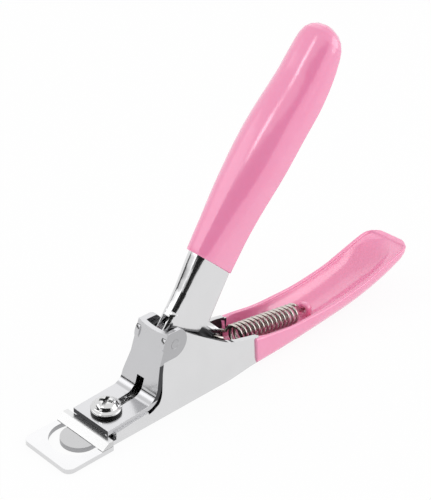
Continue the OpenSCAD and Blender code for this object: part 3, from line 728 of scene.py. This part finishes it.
# Mirror-polished sheet: near-white planes and hard black bands where it turns away
POLISHED = brushed("mirror_polished_steel", "#DEDEDF", 0.14, 0.03, 0.25, 0)
# Painted shade: the tongue inside the nail hole is darkened a third of the way to black
painted_shade_disc(POLISHED, HOLE_AT, 6.5, 0.35)
# Bright rolled sheet: an even light grey that still mirrors, one step darker than the body
COVER = brushed("bright_rolled_steel", "#CACACC", 0.16, 0.03, 0.25, 0)
# The same sheet with painted shade: the ears stand out from the body as grey discs because they mirror a
# dimmer part of the studio, and this darker grey stands in for that reflection
EARS_SHADE_PAINTED = brushed("rolled_steel_painted_darker_ears", "#B6B6B8", 0.22, 0.04, 0.25, 0)
# Painted shade: a dark grey steel that draws the sheared edges, the gaps beside them and the trough's
# inside, standing in for the shade and dark reflections there
SHADE_PAINTED_STEEL = brushed("steel_painted_dark_for_shade", "#4C4C4E", 0.45, 0.06, 0.25, 0)
# Ground steel: a paler satin, with grinding lines across the blade
GROUND = brushed("ground_blade_steel", "#D2D2D2", 0.24, 0.05, 0.12, 1)
# Bright turned steel: small sharp highlights on the screw's round head
BRIGHT = brushed("bright_screw_steel", "#DCDCDC", 0.12, 0.03, 0.2, 0)
# Nickelled wire: a warm grey with one thin highlight on each turn
SPRING = brushed("nickelled_spring_wire", "#C9C2BC", 0.2, 0.05, 0.15, 0)
# Plain turned steel: a flat mid grey for the small parts, and painted shade on the hole's wall, where the
# grey stands in for its dim reflection
PLAIN = brushed("plain_turned_steel_and_painted_hole_shade", "#A9A9AB", 0.35, 0.06, 0.2, 0)
# Near-black steel: the thin black ring under the screw's head
NEAR_BLACK_STEEL = brushed("near_black_washer_steel", "#2A2A2A", 0.35, 0.06, 0.2, 0)
# Dipped vinyl: the pink of both grips
VINYL = dipped_vinyl()

# ---------------------------------------------------------------- the pieces
lower_grip(VINYL)
upper_grip(VINYL)
tab_coat(VINYL)
return_spring(SPRING)


def inside_of_body(spot, normal):
    """Faces that turn to the body's middle plane, the bed between the cheeks, and their front edges."""
    inward = normal.y * spot.y < 0 and abs(normal.y) > 0.7
    bed = normal.z > 0.7 and abs(spot.y) < 5.4 and spot.x > -12
    edge = normal.x < -0.6 and spot.x > -14 and spot.z > 4.5
    return spot.z > 1.25 and spot.x > -19 and (inward or bed or edge)


def cheeks_set_back(bm, gap):
    """Moves the cheeks' front edges back from the standing plate, which opens a dark gap beside it."""
    edge = set()
    for face in bm.faces:
        spot = face.calc_center_median()
        if face.normal.x < -0.6 and spot.x > -14 and 4.5 < spot.z < 15:
            edge.update(face.verts)
    for vert in edge:
        if vert.co.z < 15:
            vert.co.x += gap
    return bm


def hole_wall(spot, normal):
    """The upright wall of the crescent hole."""
    return (
        spot.x < -20 and abs(normal.z) < 0.3
        and math.hypot(spot.x - HOLE_AT.x, spot.y) < HOLE_REACH)


def cover_front_edge(spot, normal):
    """The cover plate's sheared front edge."""
    return normal.x < -0.8 and spot.x < -21


def standing_edge(spot, normal):
    """The sheared side edges of the cover plate's standing part, below the ears."""
    return abs(normal.y) > 0.9 and BEND_Z < spot.z < EARS_FOOT_Z and abs(spot.y) > 4 and spot.x > -14


def on_ear(spot, normal):
    """The ears' outer faces."""
    return abs(normal.y) > 0.95 and abs(spot.y) > 5 and spot.z > 13.8


LOWER_CUT = node_box("lower_grip")[0] + Vector((HIDDEN_BY_COAT, 0, 0))
LEVER_WAY = LEVER.to_3x3() @ Vector((1, 0, 0))
CHEEK_GAP = 0.6
BODY = trimmed(cad_copy("frame"), LOWER_CUT, Vector((1, 0, 0)))
body_piece = pressed(
    "frame_steel", rounded(cheeks_set_back(BODY, CHEEK_GAP), 0.16), POLISHED, "frame", ["frame"])
# Painted shade: the body's inside, the bed between the cheeks and the cheeks' front edges get the dark grey
painted(body_piece, SHADE_PAINTED_STEEL, inside_of_body)
# Painted shade: the hole's upright wall gets the mid grey in place of its dim reflection
painted(body_piece, PLAIN, hole_wall)
neck_channel(POLISHED)
HUB = trimmed(cad_copy("upper_handle"), LEVER @ Vector((NECK_START + 0.05, 0, 0)), LEVER_WAY)
TAIL_LINE = LEVER @ Vector((0, 0, -10.5))
LEVER_UP = LEVER.to_3x3() @ Vector((0, 0, 1))
bmesh.ops.bisect_plane(
    HUB, geom=HUB.verts[:] + HUB.edges[:] + HUB.faces[:], plane_co=TAIL_LINE, plane_no=LEVER_UP)
hub_piece = pressed("upper_handle_hub", rounded(HUB, 0.15), POLISHED, "lever", ["upper_handle"])
# Painted shade: the hub's tail below its line, down between the cheeks, gets the dark grey
painted(hub_piece, SHADE_PAINTED_STEEL, lambda spot, normal: (spot - TAIL_LINE).dot(LEVER_UP) < 0)
cover_piece = pressed(
    "cover_plate_steel", rounded(folded(cad_copy("cover_plate")), 0.14), COVER, "frame",
    ["cover_plate"])
# Painted shade: the ears' outer faces get the darker grey of the same sheet
painted(cover_piece, EARS_SHADE_PAINTED, on_ear)
# Painted shade: the cover plate's front edge gets the dark grey, drawing the dark line beside the blade
painted(cover_piece, SHADE_PAINTED_STEEL, cover_front_edge)
# Painted shade: the standing part's side edges get the dark grey, drawing the dark gap beside the cheeks
painted(cover_piece, SHADE_PAINTED_STEEL, standing_edge)
clamp_screw(BRIGHT)
for node, width, material, body in (
        ("blade", 0.07, GROUND, "blade"),
        ("drive_tongue", 0.15, PLAIN, "lever"),
        ("screw_washer", 0.1, NEAR_BLACK_STEEL, "frame"),
        ("guide_bush", 0.1, PLAIN, "frame"),
        # The pivot pin, flush with the ears, takes their painted shade
        ("pivot_pin", 0.03, EARS_SHADE_PAINTED, "frame")):
    pressed(node + "_steel", rounded(cad_copy(node), width), material, body, [node])

# ---------------------------------------------------------------- studio
STUDIO_MIDDLE = Vector((10, 0, 40))
STUDIO_REACH = 600


def toward(azimuth, elevation):
    """Unit vector toward a compass angle from +X and a height angle, in degrees."""
    turn, rise = math.radians(azimuth), math.radians(elevation)
    return Vector((math.cos(turn) * math.cos(rise), math.sin(turn) * math.cos(rise), math.sin(rise)))


def facing(way, distance):
    """A matrix that stands off the object along way and looks back at it."""
    spot = (STUDIO_MIDDLE + way * distance) * MM
    return Matrix.Translation(spot) @ way.to_track_quat("Z", "Y").to_matrix().to_4x4()


def softbox(name, way, width, height, level):
    """A rectangular lamp whose face is level times as bright as white paper."""
    data = bpy.data.lights.new(name, "AREA")
    data.shape = "RECTANGLE"
    data.size, data.size_y = width * MM, height * MM
    data.energy = level * math.pi * data.size * data.size_y
    obj = bpy.data.objects.new(name, data)
    obj.matrix_world = facing(way, STUDIO_REACH)
    bpy.context.scene.collection.objects.link(obj)


def dark_flag(name, way, width, height, black):
    """A black card that only reflections show, as studios use to draw the edges of bright metal."""
    bm = bmesh.new()
    bmesh.ops.create_grid(bm, x_segments=1, y_segments=1, size=0.5)
    bmesh.ops.scale(bm, vec=(width, height, 1), verts=bm.verts)
    stand = facing(way, STUDIO_REACH)
    stand.translation /= MM
    bmesh.ops.transform(bm, matrix=stand, verts=bm.verts)
    card = finished(name, bm, black, None)
    card.visible_camera = False
    card.visible_diffuse = False
    card.visible_shadow = False
    card.visible_transmission = False


def black_card():
    """Matt black card: next to no light comes back from it."""
    material = bpy.data.materials.new("matt_black_card")
    material.use_nodes = True
    tree = material.node_tree
    tree.nodes.clear()
    black = add(tree, "ShaderNodeEmission", Color=(0.02, 0.02, 0.02, 1), Strength=1.0)
    output = add(tree, "ShaderNodeOutputMaterial")
    tree.links.new(black.outputs[0], output.inputs["Surface"])
    return material


def seen_directly(tree):
    """1 for camera, glossy and transmission rays, 0 for the rays that light the object."""
    path = add(tree, "ShaderNodeLightPath")
    both = add(
        tree, "ShaderNodeMath",
        [(0, path.outputs["Is Camera Ray"]), (1, path.outputs["Is Glossy Ray"])], operation="MAXIMUM")
    return add(
        tree, "ShaderNodeMath",
        [(0, both.outputs[0]), (1, path.outputs["Is Transmission Ray"])], operation="MAXIMUM").outputs[0]


def make_world():
    """White to the eye and in reflections, a little dimmer as the light that falls on the object."""
    world = bpy.data.worlds.new("white_studio")
    world.use_nodes = True
    tree = world.node_tree
    tree.nodes.clear()
    level = add(tree, "ShaderNodeMapRange", [("Value", seen_directly(tree))], To_Min=0.78, To_Max=1.0)
    light = add(tree, "ShaderNodeBackground", [("Strength", level.outputs[0])], Color=(1, 1, 1, 1))
    output = add(tree, "ShaderNodeOutputWorld")
    tree.links.new(light.outputs[0], output.inputs["Surface"])
    bpy.context.scene.world = world


def make_floor():
    """White paper that keeps a faint shadow and otherwise meets the background's white."""
    material = bpy.data.materials.new("white_paper_floor")
    material.use_nodes = True
    tree = material.node_tree
    tree.nodes.clear()
    paper = add(tree, "ShaderNodeBsdfDiffuse", Color=(0.96, 0.96, 0.96, 1))
    glow = add(tree, "ShaderNodeEmission", Color=(1, 1, 1, 1), Strength=1.0)
    share = add(tree, "ShaderNodeMapRange", [("Value", seen_directly(tree))], To_Min=0, To_Max=0.92)
    mixed = add(
        tree, "ShaderNodeMixShader",
        [(0, share.outputs[0]), (1, paper.outputs[0]), (2, glow.outputs[0])])
    output = add(tree, "ShaderNodeOutputMaterial")
    tree.links.new(mixed.outputs[0], output.inputs["Surface"])
    bm = bmesh.new()
    bmesh.ops.create_grid(bm, x_segments=1, y_segments=1, size=2000)
    for vert in bm.verts:
        vert.co.z = -0.05
    floor = finished("floor", bm, material, None)


bpy.context.scene.view_settings.view_transform = "Standard"
make_world()
make_floor()
softbox("left_softbox", toward(143, 31), 640, 230, 0.7)
softbox("rear_softbox", toward(50, 42), 480, 480, 0.35)
softbox("strip_light", toward(170, 52), 110, 170, 4.0)
softbox("fill_softbox", toward(-45, 22), 500, 320, 1.5)
CARD = black_card()
dark_flag("front_flag", toward(-133, 26), 900, 480, CARD)
dark_flag("side_flag", toward(-172, 33), 420, 250, CARD)
dark_flag("left_flag", toward(140, 8), 520, 110, CARD)
